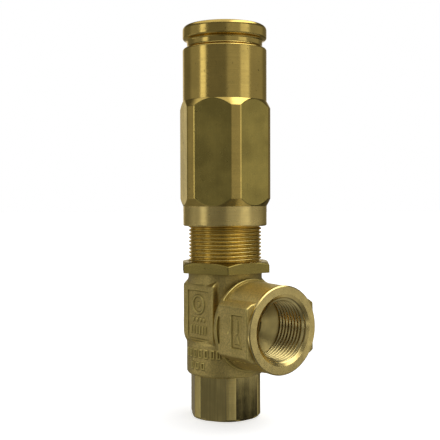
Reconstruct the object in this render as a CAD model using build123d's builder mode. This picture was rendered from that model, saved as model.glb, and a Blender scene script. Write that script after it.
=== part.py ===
"""Pressure relief valve with a side outlet and a screwed spring sleeve, in millimetres.

The origin is the centre of the inlet's lower face. +Z runs up the valve's axis and +X runs out of the outlet.
"""

import os

from build123d import *

os.makedirs("parts", exist_ok=True)

# ---------------------------------------------------------------- driving dimensions
# Inlet fitting: G 3/4 socket in a 36 mm hexagon
INLET_AF = 36.0
INLET_LAND_R = 19.7
INLET_H = 25.0
INLET_THREAD_R = 13.22
INLET_THREAD_END = 16.5
INLET_MOUTH = 0.45
INLET_BORE_R = 8.0
SPIGOT_R = 15.0
SPIGOT_TOP = 38.0
SEAT_POCKET_R = 11.0
SEAT_POCKET_Z = 33.0

# Cast body
LOWER_R = 21.0
LOWER_TOP = 41.0
NECK_R = 20.15
NECK_TOP = 78.78
THREAD_R = 19.95
THREAD_ROOT_R = 18.8
THREAD_PITCH = 2.0
THREAD_TOP = 129.0
PAD_Y = 19.1
PAD_HALF = 12.9
PAD_LOW = 41.3
PAD_HIGH = 72.2
SPIGOT_BORE_R = 15.05
CHAMBER_R = 14.0
CHAMBER_TOP = 68.0
SPRING_BORE_R = 16.0

# Outlet: G 1 socket on +X
OUT_Z = 51.5
OUT_X = 46.8
OUT_R = 22.9
OUT_ROOT_R = 23.6
OUT_THREAD_R = 16.62
OUT_MOUTH_R = 18.4
OUT_THREAD_END = 25.4
OUT_HOLE_R = 8.6
OUT_HOLE_X = 20.0
COLLAR_R = 24.5
COLLAR_X = 22.7
WRENCH_Y = 23.1
WRENCH_HALF = 12.6
WRENCH_X = 45.1

# Closing member
BALL_R = 9.0
BALL_Z = 46.0
SEAT_R = 10.95
SEAT_TOP = 40.0
SEAT_BORE_R = 5.8
CARRIER_R = 10.5
CARRIER_LOW = 46.6
CARRIER_TOP = 64.0
ROD_R = 5.0
ROD_TOP = 93.0
ROD_SPIGOT_R = 4.0
ROD_SPIGOT_LOW = 57.0

# Guide bush and its seals
BUSH_R = 15.97
BUSH_LOW = 68.0
BUSH_TOP = 84.0
BUSH_BORE_R = 5.05
CLIP_LOW = 84.05
CLIP_HIGH = 85.55
CLIP_GROOVE_R = 17.0

# Spring stack
SPRING_LOW = 94.0
SPRING_HIGH = 185.0
SPRING_MEAN_R = 12.5
WIRE_R = 2.25
SPRING_TURNS = 14
PLATE_R = 15.4
PLATE_SPIGOT_R = 9.9
THRUST_BALL_R = 5.0
THRUST_BALL_Z = 196.0
PAD_R = 8.0
PAD_BOTTOM = 199.5
PAD_TOP = 202.5

# Adjusting sleeve: 46 mm hexagon on a M40x2 bore
SLEEVE_LOW = 103.7
SLEEVE_TOP = 212.0
SLEEVE_R = 22.85
SLEEVE_AF = 46.0
SLEEVE_LAND_R = 25.1
HEX_CONE_LOW = 114.5
HEX_LOW = 118.5
HEX_HIGH = 167.2
HEX_CONE_HIGH = 171.3
GROOVE_LOW = 199.5
GROOVE_HIGH = 204.7
GROOVE_R = 20.5
SLEEVE_BORE_R = 20.05
SLEEVE_THREAD_END = 145.0
CAVITY_R = 17.0
CAVITY_TOP = 200.0
SLEEVE_TURN = 4.2

# Lock nut
NUT_AF = 46.0
NUT_LOW = 78.8
NUT_TOP = 84.4
NUT_TURN = 54.3


# ---------------------------------------------------------------- helpers
def revolved(points):
    """Revolve a closed outline of (r, z) pairs about the Z axis in the open builder."""
    with BuildSketch(Plane.XZ) as outline:
        with BuildLine():
            Polyline(*points, close=True)
        make_face()
    revolve(outline.sketch, axis=Axis.Z)


def hexagon(across_flats, low, high, turn):
    """Keep only what lies inside a hexagonal prism with a flat centred on the angle turn."""
    with BuildSketch(Plane.XY.offset(low)) as outline:
        RegularPolygon(across_flats / 2.0, 6, major_radius=False, rotation=turn + 30.0)
    extrude(outline.sketch, amount=high - low, mode=Mode.INTERSECT)


def ring(name, inner, outer, low, high):
    """A plain washer-shaped piece."""
    with BuildPart() as piece:
        revolved([(inner, low), (outer, low), (outer, high), (inner, high)])
    finish(piece, name)


def o_ring(name, mean, section, height):
    """A round-section seal centred on the Z axis."""
    with BuildPart() as piece:
        with BuildSketch(Plane.XZ):
            with Locations((mean, height)):
                Circle(section)
        revolve(axis=Axis.Z)
    finish(piece, name)


def finish(piece, name):
    """Name the solid and write it out."""
    piece.part.label = name
    export_step(piece.part, "parts/" + name + ".step")


# ---------------------------------------------------------------- inlet fitting
def build_inlet_fitting():
    with BuildPart() as inlet_fitting:
        revolved(
            [
                (INLET_THREAD_R + INLET_MOUTH, 0.0),
                (INLET_LAND_R - 1.3, 0.0),
                (INLET_LAND_R - 0.35, 0.4),
                (INLET_LAND_R, 1.5),
                (INLET_LAND_R, INLET_H),
                (SPIGOT_R, INLET_H),
                (SPIGOT_R, SPIGOT_TOP - 0.6),
                (SPIGOT_R - 0.6, SPIGOT_TOP),
                (SEAT_POCKET_R, SPIGOT_TOP),
                (SEAT_POCKET_R, SEAT_POCKET_Z),
                (INLET_BORE_R, SEAT_POCKET_Z),
                (INLET_BORE_R, INLET_THREAD_END + 3.2),
                (INLET_THREAD_R, INLET_THREAD_END),
                (INLET_THREAD_R, INLET_MOUTH),
            ]
        )
        hexagon(INLET_AF, 0.0, SPIGOT_TOP, 0.0)
        # groove for the seal under the body's lower edge
        with BuildSketch(Plane.XZ):
            with Locations((SPIGOT_R, INLET_H + 2.0)):
                Rectangle(3.2, 2.6)
        revolve(axis=Axis.Z, mode=Mode.SUBTRACT)
    finish(inlet_fitting, "inlet_fitting")


# ---------------------------------------------------------------- cast body
def thread_outline(low, high):
    """Outside outline of ring-shaped thread ridges, from low to high."""
    points = []
    count = int((high - low) / THREAD_PITCH)
    start = low + 0.9
    for turn in range(count):
        z = start + turn * THREAD_PITCH
        if z + 1.0 > high - 1.4:
            break
        points.append((THREAD_R, z - 0.15))
        points.append((THREAD_ROOT_R, z + 0.5))
        points.append((THREAD_ROOT_R, z + 0.75))
        points.append((THREAD_R, z + 1.4))
    return points


def build_valve_body():
    with BuildPart() as valve_body:
        # lower skirt, neck and threaded stem
        outline = [
            (0.0, 23.0),
            (LOWER_R - 1.9, 23.0),
            (LOWER_R - 0.8, 23.35),
            (LOWER_R - 0.2, 24.1),
            (LOWER_R, 25.2),
            (LOWER_R, LOWER_TOP),
            (NECK_R, LOWER_TOP + 1.5),
            (NECK_R, NECK_TOP),
            (THREAD_R, NECK_TOP),
        ]
        outline += thread_outline(NECK_TOP, THREAD_TOP)
        outline += [
            (THREAD_R, THREAD_TOP - 1.2),
            (THREAD_R - 1.2, THREAD_TOP),
            (0.0, THREAD_TOP),
        ]
        revolved(outline)
        # raised flats on the two sides, with sloping ends
        with BuildSketch(Plane.YZ.offset(-PAD_HALF)):
            with BuildLine():
                Polyline(
                    (PAD_Y, PAD_LOW + 1.6),
                    (PAD_Y, PAD_HIGH),
                    (PAD_Y - 2.6, PAD_HIGH + 2.2),
                    (2.6 - PAD_Y, PAD_HIGH + 2.2),
                    (-PAD_Y, PAD_HIGH),
                    (-PAD_Y, PAD_LOW + 1.6),
                    (2.6 - PAD_Y, PAD_LOW - 1.8),
                    (PAD_Y - 2.6, PAD_LOW - 1.8),
                    close=True,
                )
            make_face()
        extrude(amount=2.0 * PAD_HALF)
        pad_corners = valve_body.edges().filter_by(Axis.Z)
        pad_corners = pad_corners.filter_by(lambda e: abs(abs(e.center().Y) - PAD_Y) < 0.01)
        fillet(pad_corners, radius=1.0)
        # trim the round core back to the flats
        for side in (-1.0, 1.0):
            with Locations((0.0, side * (PAD_Y + 5.0), (PAD_LOW + PAD_HIGH) / 2.0 + 0.8)):
                Box(2.0 * PAD_HALF - 2.0, 10.0, PAD_HIGH - PAD_LOW - 1.6, mode=Mode.SUBTRACT)
        # outlet boss with its root collar
        with BuildSketch(Plane.XZ):
            with BuildLine():
                Polyline(
                    (0.0, OUT_Z),
                    (0.0, OUT_Z + 14.5),
                    (16.0, OUT_Z + 15.0),
                    (18.2, OUT_Z + 18.0),
                    (20.4, OUT_Z + COLLAR_R - 0.6),
                    (21.0, OUT_Z + COLLAR_R),
                    (COLLAR_X - 0.6, OUT_Z + COLLAR_R),
                    (COLLAR_X, OUT_Z + COLLAR_R - 0.5),
                    (COLLAR_X + 0.3, OUT_Z + OUT_ROOT_R),
                    (WRENCH_X, OUT_Z + OUT_R),
                    (OUT_X - 1.0, OUT_Z + OUT_R),
                    (OUT_X, OUT_Z + OUT_R - 1.0),
                    (OUT_X, OUT_Z),
                    close=True,
                )
            make_face()
        revolve(axis=Axis((0.0, 0.0, OUT_Z), (1.0, 0.0, 0.0)))
        # wrench flats on the boss
        with BuildSketch(Plane.YZ.offset(COLLAR_X - 4.0)):
            with BuildLine():
                Polyline(
                    (WRENCH_Y, OUT_Z - WRENCH_HALF),
                    (WRENCH_Y, OUT_Z + WRENCH_HALF),
                    (WRENCH_Y - 3.4, OUT_Z + WRENCH_HALF + 2.0),
                    (3.4 - WRENCH_Y, OUT_Z + WRENCH_HALF + 2.0),
                    (-WRENCH_Y, OUT_Z + WRENCH_HALF),
                    (-WRENCH_Y, OUT_Z - WRENCH_HALF),
                    (3.4 - WRENCH_Y, OUT_Z - WRENCH_HALF - 2.0),
                    (WRENCH_Y - 3.4, OUT_Z - WRENCH_HALF - 2.0),
                    close=True,
                )
            make_face()
        extrude(amount=WRENCH_X - COLLAR_X + 4.0)
        # recessed maker's panel on the front flat, with a plain ring and two bars
        with Locations((0.0, -PAD_Y, 56.2)):
            Box(18.0, 1.2, 26.0, mode=Mode.SUBTRACT)
        with BuildSketch(Plane.XZ.offset(PAD_Y - 0.6)):
            with Locations((0.0, 61.8)):
                Circle(5.2)
                Circle(4.2, mode=Mode.SUBTRACT)
            with Locations((0.0, 54.3)):
                Rectangle(9.5, 2.2)
            with Locations((0.0, 49.2)):
                Rectangle(13.0, 3.0)
        extrude(amount=0.5)
        # recessed panel on the boss's front flat, with a flow arrow
        with Locations((37.1, -WRENCH_Y, 51.8)):
            Box(8.2, 0.8, 16.5, mode=Mode.SUBTRACT)
        with BuildSketch(Plane.XZ.offset(WRENCH_Y - 0.5)):
            with BuildLine():
                Polyline((34.4, 46.0), (39.8, 46.0), (37.1, 50.6), close=True)
            make_face()
            with Locations((37.1, 54.6)):
                Rectangle(1.6, 7.6)
        extrude(amount=0.4)
        # raised marks round the lower skirt
        for angle in (-108.0, -98.0, -88.0, -78.0, -68.0, -58.0, -49.0):
            with Locations(Rotation(0.0, 0.0, angle)):
                with Locations((LOWER_R, 0.0, 36.0)):
                    Box(1.4, 2.3, 4.8)
        for angle in (-95.0, -84.0, -74.0):
            with Locations(Rotation(0.0, 0.0, angle)):
                with Locations((LOWER_R, 0.0, 29.6)):
                    Box(1.4, 2.4, 4.2)
        # inside, from below: spigot bore, chamber, spring bore
        with BuildSketch(Plane.XZ):
            with BuildLine():
                Polyline(
                    (0.0, 20.0),
                    (LOWER_R + 4.0, 20.0),
                    (LOWER_R + 4.0, 23.0),
                    (SPIGOT_BORE_R + 4.8, 23.0),
                    (SPIGOT_BORE_R + 4.8, INLET_H + 0.02),
                    (SPIGOT_BORE_R, INLET_H + 0.02),
                    (SPIGOT_BORE_R, SPIGOT_TOP + 0.2),
                    (CHAMBER_R, SPIGOT_TOP + 0.2),
                    (CHAMBER_R, CHAMBER_TOP),
                    (SPRING_BORE_R, CHAMBER_TOP),
                    (SPRING_BORE_R, CLIP_LOW - 0.05),
                    (CLIP_GROOVE_R, CLIP_LOW - 0.05),
                    (CLIP_GROOVE_R, CLIP_HIGH + 0.05),
                    (SPRING_BORE_R, CLIP_HIGH + 0.05),
                    (SPRING_BORE_R, THREAD_TOP - 1.0),
                    (SPRING_BORE_R + 1.0, THREAD_TOP + 0.01),
                    (0.0, THREAD_TOP + 0.01),
                    close=True,
                )
            make_face()
        revolve(axis=Axis.Z, mode=Mode.SUBTRACT)
        # outlet socket, its cone and the cross hole
        with BuildSketch(Plane.XZ):
            with BuildLine():
                Polyline(
                    (0.0, OUT_Z),
                    (0.0, OUT_Z + OUT_HOLE_R),
                    (OUT_HOLE_X, OUT_Z + OUT_HOLE_R),
                    (OUT_THREAD_END, OUT_Z + OUT_THREAD_R),
                    (OUT_X - 1.9, OUT_Z + OUT_THREAD_R),
                    (OUT_X, OUT_Z + OUT_MOUTH_R),
                    (OUT_X + 1.0, OUT_Z + OUT_MOUTH_R),
                    (OUT_X + 1.0, OUT_Z),
                    close=True,
                )
            make_face()
        revolve(axis=Axis((0.0, 0.0, OUT_Z), (1.0, 0.0, 0.0)), mode=Mode.SUBTRACT)
    finish(valve_body, "valve_body")


# ---------------------------------------------------------------- closing member
def build_valve_seat():
    with BuildPart() as valve_seat:
        revolved(
            [
                (SEAT_BORE_R, SEAT_POCKET_Z),
                (SEAT_R, SEAT_POCKET_Z),
                (SEAT_R, SEAT_TOP - 0.8),
                (SEAT_R - 0.8, SEAT_TOP),
                (SEAT_BORE_R + 1.13, SEAT_TOP),
                (SEAT_BORE_R, SEAT_TOP - 1.13),
            ]
        )
        with BuildSketch(Plane.XZ):
            with Locations((SEAT_R, SEAT_POCKET_Z + 2.6)):
                Rectangle(2.4, 2.0)
        revolve(axis=Axis.Z, mode=Mode.SUBTRACT)
    finish(valve_seat, "valve_seat")


def build_valve_ball():
    with BuildPart() as valve_ball:
        with Locations((0.0, 0.0, BALL_Z)):
            Sphere(BALL_R)
    finish(valve_ball, "valve_ball")


def build_ball_carrier():
    with BuildPart() as ball_carrier:
        revolved(
            [
                (0.0, CARRIER_LOW),
                (CARRIER_R - 0.5, CARRIER_LOW),
                (CARRIER_R, CARRIER_LOW + 0.5),
                (CARRIER_R, CARRIER_TOP - 3.0),
                (CARRIER_R - 2.5, CARRIER_TOP),
                (0.0, CARRIER_TOP),
            ]
        )
        with Locations((0.0, 0.0, BALL_Z)):
            Sphere(BALL_R + 0.02, mode=Mode.SUBTRACT)
        with Locations((0.0, 0.0, (ROD_SPIGOT_LOW + CARRIER_TOP) / 2.0)):
            Cylinder(ROD_SPIGOT_R + 0.02, CARRIER_TOP - ROD_SPIGOT_LOW, mode=Mode.SUBTRACT)
    finish(ball_carrier, "ball_carrier")


def build_push_rod():
    with BuildPart() as push_rod:
        revolved(
            [
                (0.0, ROD_SPIGOT_LOW),
                (ROD_SPIGOT_R - 0.5, ROD_SPIGOT_LOW),
                (ROD_SPIGOT_R, ROD_SPIGOT_LOW + 0.5),
                (ROD_SPIGOT_R, CARRIER_TOP),
                (ROD_R, CARRIER_TOP),
                (ROD_R, ROD_TOP - 0.8),
                (ROD_R - 0.8, ROD_TOP),
                (0.0, ROD_TOP),
            ]
        )
    finish(push_rod, "push_rod")


# ---------------------------------------------------------------- guide bush
def build_guide_bush():
    with BuildPart() as guide_bush:
        revolved(
            [
                (BUSH_BORE_R, BUSH_LOW),
                (BUSH_R - 0.5, BUSH_LOW),
                (BUSH_R, BUSH_LOW + 0.5),
                (BUSH_R, BUSH_LOW + 4.0),
                (BUSH_R - 1.8, BUSH_LOW + 4.0),
                (BUSH_R - 1.8, BUSH_LOW + 6.6),
                (BUSH_R, BUSH_LOW + 6.6),
                (BUSH_R, BUSH_TOP - 0.5),
                (BUSH_R - 0.5, BUSH_TOP),
                (BUSH_BORE_R + 0.6, BUSH_TOP),
                (BUSH_BORE_R, BUSH_TOP - 0.6),
                (BUSH_BORE_R, BUSH_LOW + 11.2),
                (7.2, BUSH_LOW + 11.2),
                (7.2, BUSH_LOW + 7.6),
                (BUSH_BORE_R, BUSH_LOW + 7.6),
            ]
        )
    finish(guide_bush, "guide_bush")


def build_bush_circlip():
    with BuildPart() as bush_circlip:
        revolved(
            [
                (13.6, CLIP_LOW),
                (CLIP_GROOVE_R - 0.05, CLIP_LOW),
                (CLIP_GROOVE_R - 0.05, CLIP_HIGH),
                (13.6, CLIP_HIGH),
            ]
        )
        with Locations((-15.0, 0.0, (CLIP_LOW + CLIP_HIGH) / 2.0)):
            Box(6.0, 6.0, 3.0, mode=Mode.SUBTRACT)
    finish(bush_circlip, "bush_circlip")


# ---------------------------------------------------------------- spring stack
def build_lower_spring_plate():
    with BuildPart() as lower_spring_plate:
        revolved(
            [
                (ROD_R + 0.03, 87.6),
                (8.0, 87.6),
                (8.0, 90.0),
                (PLATE_R, 90.0),
                (PLATE_R, SPRING_LOW),
                (PLATE_SPIGOT_R, SPRING_LOW),
                (PLATE_SPIGOT_R, 98.6),
                (PLATE_SPIGOT_R - 1.0, 99.6),
                (0.0, 99.6),
                (0.0, ROD_TOP),
                (ROD_R + 0.03, ROD_TOP),
            ]
        )
    finish(lower_spring_plate, "lower_spring_plate")


def build_upper_spring_plate():
    with BuildPart() as upper_spring_plate:
        revolved(
            [
                (0.0, SPRING_HIGH - 5.6),
                (PLATE_SPIGOT_R - 1.0, SPRING_HIGH - 5.6),
                (PLATE_SPIGOT_R, SPRING_HIGH - 4.6),
                (PLATE_SPIGOT_R, SPRING_HIGH),
                (PLATE_R, SPRING_HIGH),
                (PLATE_R, SPRING_HIGH + 4.0),
                (9.0, SPRING_HIGH + 4.0),
                (7.5, SPRING_HIGH + 7.5),
                (0.0, SPRING_HIGH + 7.5),
            ]
        )
        with Locations((0.0, 0.0, THRUST_BALL_Z)):
            Sphere(THRUST_BALL_R + 0.02, mode=Mode.SUBTRACT)
    finish(upper_spring_plate, "upper_spring_plate")


def build_spring():
    height = SPRING_HIGH - SPRING_LOW
    with BuildPart() as spring:
        with BuildLine() as path:
            Helix(pitch=height / SPRING_TURNS, height=height, radius=SPRING_MEAN_R, center=(0, 0, SPRING_LOW))
        with BuildSketch(Plane(origin=path.line @ 0, z_dir=path.line % 0)):
            Circle(WIRE_R)
        sweep(path=path.line, is_frenet=True)
        # ground ends
        with Locations((0.0, 0.0, SPRING_LOW - 5.0)):
            Box(60.0, 60.0, 10.0, mode=Mode.SUBTRACT)
        with Locations((0.0, 0.0, SPRING_HIGH + 5.0)):
            Box(60.0, 60.0, 10.0, mode=Mode.SUBTRACT)
    finish(spring, "spring")


def build_thrust_ball():
    with BuildPart() as thrust_ball:
        with Locations((0.0, 0.0, THRUST_BALL_Z)):
            Sphere(THRUST_BALL_R)
    finish(thrust_ball, "thrust_ball")


def build_thrust_pad():
    with BuildPart() as thrust_pad:
        revolved(
            [
                (0.0, PAD_BOTTOM),
                (PAD_R - 0.5, PAD_BOTTOM),
                (PAD_R, PAD_BOTTOM + 0.5),
                (PAD_R, PAD_TOP),
                (0.0, PAD_TOP),
            ]
        )
        with Locations((0.0, 0.0, THRUST_BALL_Z)):
            Sphere(THRUST_BALL_R + 0.02, mode=Mode.SUBTRACT)
    finish(thrust_pad, "thrust_pad")


# ---------------------------------------------------------------- adjusting sleeve
def build_adjusting_sleeve():
    with BuildPart() as adjusting_sleeve:
        revolved(
            [
                (0.0, SLEEVE_LOW),
                (SLEEVE_R - 0.9, SLEEVE_LOW),
                (SLEEVE_R - 0.3, SLEEVE_LOW + 0.3),
                (SLEEVE_R, SLEEVE_LOW + 0.9),
                (SLEEVE_R, HEX_CONE_LOW),
                (SLEEVE_LAND_R, HEX_LOW),
                (SLEEVE_LAND_R, HEX_HIGH),
                (SLEEVE_R, HEX_CONE_HIGH),
                (SLEEVE_R, GROOVE_LOW - 1.2),
                (SLEEVE_R - 0.35, GROOVE_LOW - 0.3),
                (SLEEVE_R - 1.2, GROOVE_LOW + 0.3),
                (GROOVE_R, GROOVE_LOW + 1.4),
                (GROOVE_R, GROOVE_HIGH - 1.4),
                (SLEEVE_R - 1.2, GROOVE_HIGH - 0.3),
                (SLEEVE_R - 0.35, GROOVE_HIGH + 0.3),
                (SLEEVE_R, GROOVE_HIGH + 1.2),
                (SLEEVE_R, SLEEVE_TOP - 2.4),
                (SLEEVE_R - 0.7, SLEEVE_TOP - 0.7),
                (SLEEVE_R - 2.4, SLEEVE_TOP),
                (0.0, SLEEVE_TOP),
            ]
        )
        hexagon(SLEEVE_AF, SLEEVE_LOW, SLEEVE_TOP, SLEEVE_TURN)
        with BuildSketch(Plane.XZ):
            with BuildLine():
                Polyline(
                    (0.0, SLEEVE_LOW - 1.0),
                    (SLEEVE_BORE_R + 1.0, SLEEVE_LOW - 1.0),
                    (SLEEVE_BORE_R + 1.0, SLEEVE_LOW),
                    (SLEEVE_BORE_R, SLEEVE_LOW + 1.0),
                    (SLEEVE_BORE_R, SLEEVE_THREAD_END),
                    (CAVITY_R, SLEEVE_THREAD_END + 3.0),
                    (CAVITY_R, CAVITY_TOP - 2.0),
                    (CAVITY_R - 2.0, CAVITY_TOP),
                    (PAD_R + 0.03, CAVITY_TOP),
                    (PAD_R + 0.03, PAD_TOP),
                    (0.0, PAD_TOP),
                    close=True,
                )
            make_face()
        revolve(axis=Axis.Z, mode=Mode.SUBTRACT)
    finish(adjusting_sleeve, "adjusting_sleeve")


# ---------------------------------------------------------------- lock nut
def build_lock_nut():
    with BuildPart() as lock_nut:
        revolved(
            [
                (SLEEVE_BORE_R + 0.8, NUT_LOW),
                (27.5, NUT_LOW),
                (27.5, NUT_TOP - 2.25),
                (23.4, NUT_TOP),
                (SLEEVE_BORE_R + 0.8, NUT_TOP),
                (SLEEVE_BORE_R, NUT_TOP - 0.8),
                (SLEEVE_BORE_R, NUT_LOW + 0.8),
            ]
        )
        hexagon(NUT_AF, NUT_LOW, NUT_TOP, NUT_TURN)
    finish(lock_nut, "lock_nut")


build_inlet_fitting()
o_ring("inlet_o_ring", 14.28, 0.75, INLET_H + 2.0)
build_valve_body()
build_valve_seat()
o_ring("seat_o_ring", 10.35, 0.6, SEAT_POCKET_Z + 2.6)
build_valve_ball()
build_ball_carrier()
build_push_rod()
build_guide_bush()
o_ring("bush_o_ring", 15.1, 0.88, BUSH_LOW + 5.3)
o_ring("rod_o_ring", 6.12, 1.0, BUSH_LOW + 8.8)
ring("backup_ring", 5.12, 7.1, BUSH_LOW + 10.0, BUSH_LOW + 11.1)
build_bush_circlip()
build_lower_spring_plate()
build_spring()
build_upper_spring_plate()
build_thrust_ball()
build_thrust_pad()
build_adjusting_sleeve()
build_lock_nut()
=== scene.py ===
"""Looks of the pressure relief valve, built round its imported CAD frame. Lengths in the tables are in millimetres."""

import math

import bmesh
import bpy
import numpy as np
import openvdb as vdb
from mathutils import Matrix, Vector


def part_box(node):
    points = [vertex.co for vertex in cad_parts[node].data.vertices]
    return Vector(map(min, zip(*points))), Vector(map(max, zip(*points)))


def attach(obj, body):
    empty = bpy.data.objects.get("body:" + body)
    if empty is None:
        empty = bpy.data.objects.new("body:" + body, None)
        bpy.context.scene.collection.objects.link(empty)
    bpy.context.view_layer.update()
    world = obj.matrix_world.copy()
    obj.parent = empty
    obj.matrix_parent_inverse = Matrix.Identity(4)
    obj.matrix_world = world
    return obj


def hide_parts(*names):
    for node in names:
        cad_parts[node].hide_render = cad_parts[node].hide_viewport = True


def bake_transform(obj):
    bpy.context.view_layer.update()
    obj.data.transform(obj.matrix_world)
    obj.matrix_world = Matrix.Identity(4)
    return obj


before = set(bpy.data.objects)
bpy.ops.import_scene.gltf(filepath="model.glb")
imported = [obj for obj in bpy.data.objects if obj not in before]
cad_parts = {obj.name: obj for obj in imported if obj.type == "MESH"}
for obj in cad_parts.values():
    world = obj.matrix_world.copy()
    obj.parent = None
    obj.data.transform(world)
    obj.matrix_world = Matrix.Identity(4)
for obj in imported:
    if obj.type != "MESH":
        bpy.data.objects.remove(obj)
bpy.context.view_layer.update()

MM = 0.001

# Sizes of the pieces that screw together, and the outlet's height. A turn is in degrees.
OUTLET_Z = 51.5
SLEEVE_ACROSS_FLATS = 46.0
SLEEVE_TURN = 4.2
NUT_ACROSS_FLATS = 46.0
NUT_TURN = 54.3
INLET_ACROSS_FLATS = 36.0
STEM_PITCH = 2.0
INLET_PITCH = 1.814
OUTLET_PITCH = 2.309


# ------------------------------------------------------------------ materials
class Nodes:
    """Short calls for building a node tree."""

    def __init__(self, tree):
        self.tree = tree
        tree.nodes.clear()

    def add(self, kind, **values):
        node = self.tree.nodes.new(kind)
        for key, value in values.items():
            setattr(node, key, value)
        return node

    def link(self, source, target):
        self.tree.links.new(source, target)

    def math(self, operation, a, b=None):
        node = self.add("ShaderNodeMath", operation=operation)
        for index, value in enumerate((a, b)):
            if value is None:
                continue
            if isinstance(value, (int, float)):
                node.inputs[index].default_value = value
            else:
                self.link(value, node.inputs[index])
        return node.outputs[0]

    def noise(self, scale, detail=2.0, stretch=None, roughness=0.5):
        """Noise fixed to the object. stretch multiplies its coordinates, so a small number draws it out that way."""
        coords = self.add("ShaderNodeTexCoord").outputs["Object"]
        if stretch:
            mapping = self.add("ShaderNodeMapping")
            mapping.inputs["Scale"].default_value = stretch
            self.link(coords, mapping.inputs["Vector"])
            coords = mapping.outputs[0]
        texture = self.add("ShaderNodeTexNoise")
        texture.inputs["Scale"].default_value = scale
        texture.inputs["Detail"].default_value = detail
        texture.inputs["Roughness"].default_value = roughness
        self.link(coords, texture.inputs["Vector"])
        return texture.outputs[0]

    def spread(self, value, low, high, to_low, to_high):
        """Carry the span low to high over to the span to_low to to_high."""
        node = self.add("ShaderNodeMapRange")
        node.inputs["From Min"].default_value = low
        node.inputs["From Max"].default_value = high
        node.inputs["To Min"].default_value = to_low
        node.inputs["To Max"].default_value = to_high
        self.link(value, node.inputs["Value"])
        return node.outputs[0]

    def mix(self, factor, a, b):
        node = self.add("ShaderNodeMix", data_type="RGBA")
        self.link(factor, node.inputs[0])
        for socket, value in ((node.inputs[6], a), (node.inputs[7], b)):
            if isinstance(value, tuple):
                socket.default_value = (*value, 1.0)
            else:
                self.link(value, socket)
        return node.outputs[2]

    def bump(self, height, strength, distance_mm, below=None):
        node = self.add("ShaderNodeBump")
        node.inputs["Strength"].default_value = strength
        node.inputs["Distance"].default_value = distance_mm * MM
        self.link(height, node.inputs["Height"])
        if below is not None:
            self.link(below, node.inputs["Normal"])
        return node.outputs[0]


def new_material(name):
    """A material with a principled shader, its node calls and the shader."""
    material = bpy.data.materials.new(name)
    material.use_nodes = True
    nodes = Nodes(material.node_tree)
    shader = nodes.add("ShaderNodeBsdfPrincipled")
    output = nodes.add("ShaderNodeOutputMaterial")
    nodes.link(shader.outputs[0], output.inputs[0])
    return material, nodes, shader


def scaled(colour, factor, green=1.0, blue=1.0):
    """The colour made lighter or darker. green and blue shift its hue."""
    colour = (colour[0], colour[1] * green, colour[2] * blue)
    return tuple(min(1.0, c * factor) for c in colour)


STAIN_SCALE = 70.0
CLOUD_SCALE = 260.0
SPOT_SCALE = 520.0
BAND_PART = 0.22
ROUGH_SPREAD = 0.035
BRASS_EDGE_TINT = (0.96, 0.86, 0.62, 1.0)


def brass_material(
    name,
    colour,
    rough,
    stretch,
    line_scale,
    line_depth,
    spots=0.0,
    anisotropic=0.0,
    stain_tone=0.86,
    streaks=0.25,
):
    """Cut brass with fine tool lines, faint stains and a few dull spots.

    stretch draws the lines out, line_depth is in mm, and spots of 0 leaves the dull spots out. stain_tone is how
    dark the stains are, and streaks how much the lines show in the colour.
    """
    material, nodes, shader = new_material(name)
    stain = nodes.noise(STAIN_SCALE, 3.0)
    cloud = nodes.noise(CLOUD_SCALE, 4.0)
    bands = nodes.noise(line_scale * BAND_PART, 1.0, stretch)
    lines = nodes.noise(line_scale, 2.0, stretch, 0.6)
    tone = nodes.mix(nodes.spread(stain, 0.38, 0.64, 0.0, 1.0), colour, scaled(colour, stain_tone))
    tone = nodes.mix(nodes.spread(cloud, 0.45, 0.75, 0.0, 0.5), tone, scaled(colour, 0.8, 1.04, 1.1))
    tone = nodes.mix(nodes.spread(lines, 0.35, 0.65, 0.0, streaks), tone, scaled(colour, 0.6))
    banded = nodes.spread(bands, 0.3, 0.7, rough - ROUGH_SPREAD, rough + ROUGH_SPREAD)
    rough_value = nodes.math("ADD", banded, nodes.spread(cloud, 0.4, 0.7, 0.0, 0.05))
    if spots:
        dots = nodes.noise(SPOT_SCALE, 2.0)
        mask = nodes.spread(dots, 0.70 - spots * 0.02, 0.78, 0.0, 1.0)
        tone = nodes.mix(mask, tone, scaled(colour, 0.42))
        rough_value = nodes.math("ADD", rough_value, nodes.math("MULTIPLY", mask, 0.2))
    nodes.link(tone, shader.inputs["Base Color"])
    nodes.link(rough_value, shader.inputs["Roughness"])
    shader.inputs["Metallic"].default_value = 1.0
    shader.inputs["Specular Tint"].default_value = BRASS_EDGE_TINT
    shader.inputs["Anisotropic"].default_value = anisotropic
    if anisotropic:
        shader.inputs["Anisotropic Rotation"].default_value = 0.25
        tangent = nodes.add("ShaderNodeTangent", direction_type="RADIAL", axis="Z")
        nodes.link(tangent.outputs[0], shader.inputs["Tangent"])
    broad = nodes.bump(bands, 0.25, line_depth * 2.0)
    nodes.link(nodes.bump(lines, 0.5, line_depth, broad), shader.inputs["Normal"])
    return material


CAST_GRAIN_SCALE = 1150.0
CAST_PIT_SCALE = 520.0
CAST_CLOUD_SCALE = 95.0
# reach of the painted shade's occlusion test, in mm
SHADE_REACH_MM = 5.0


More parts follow.
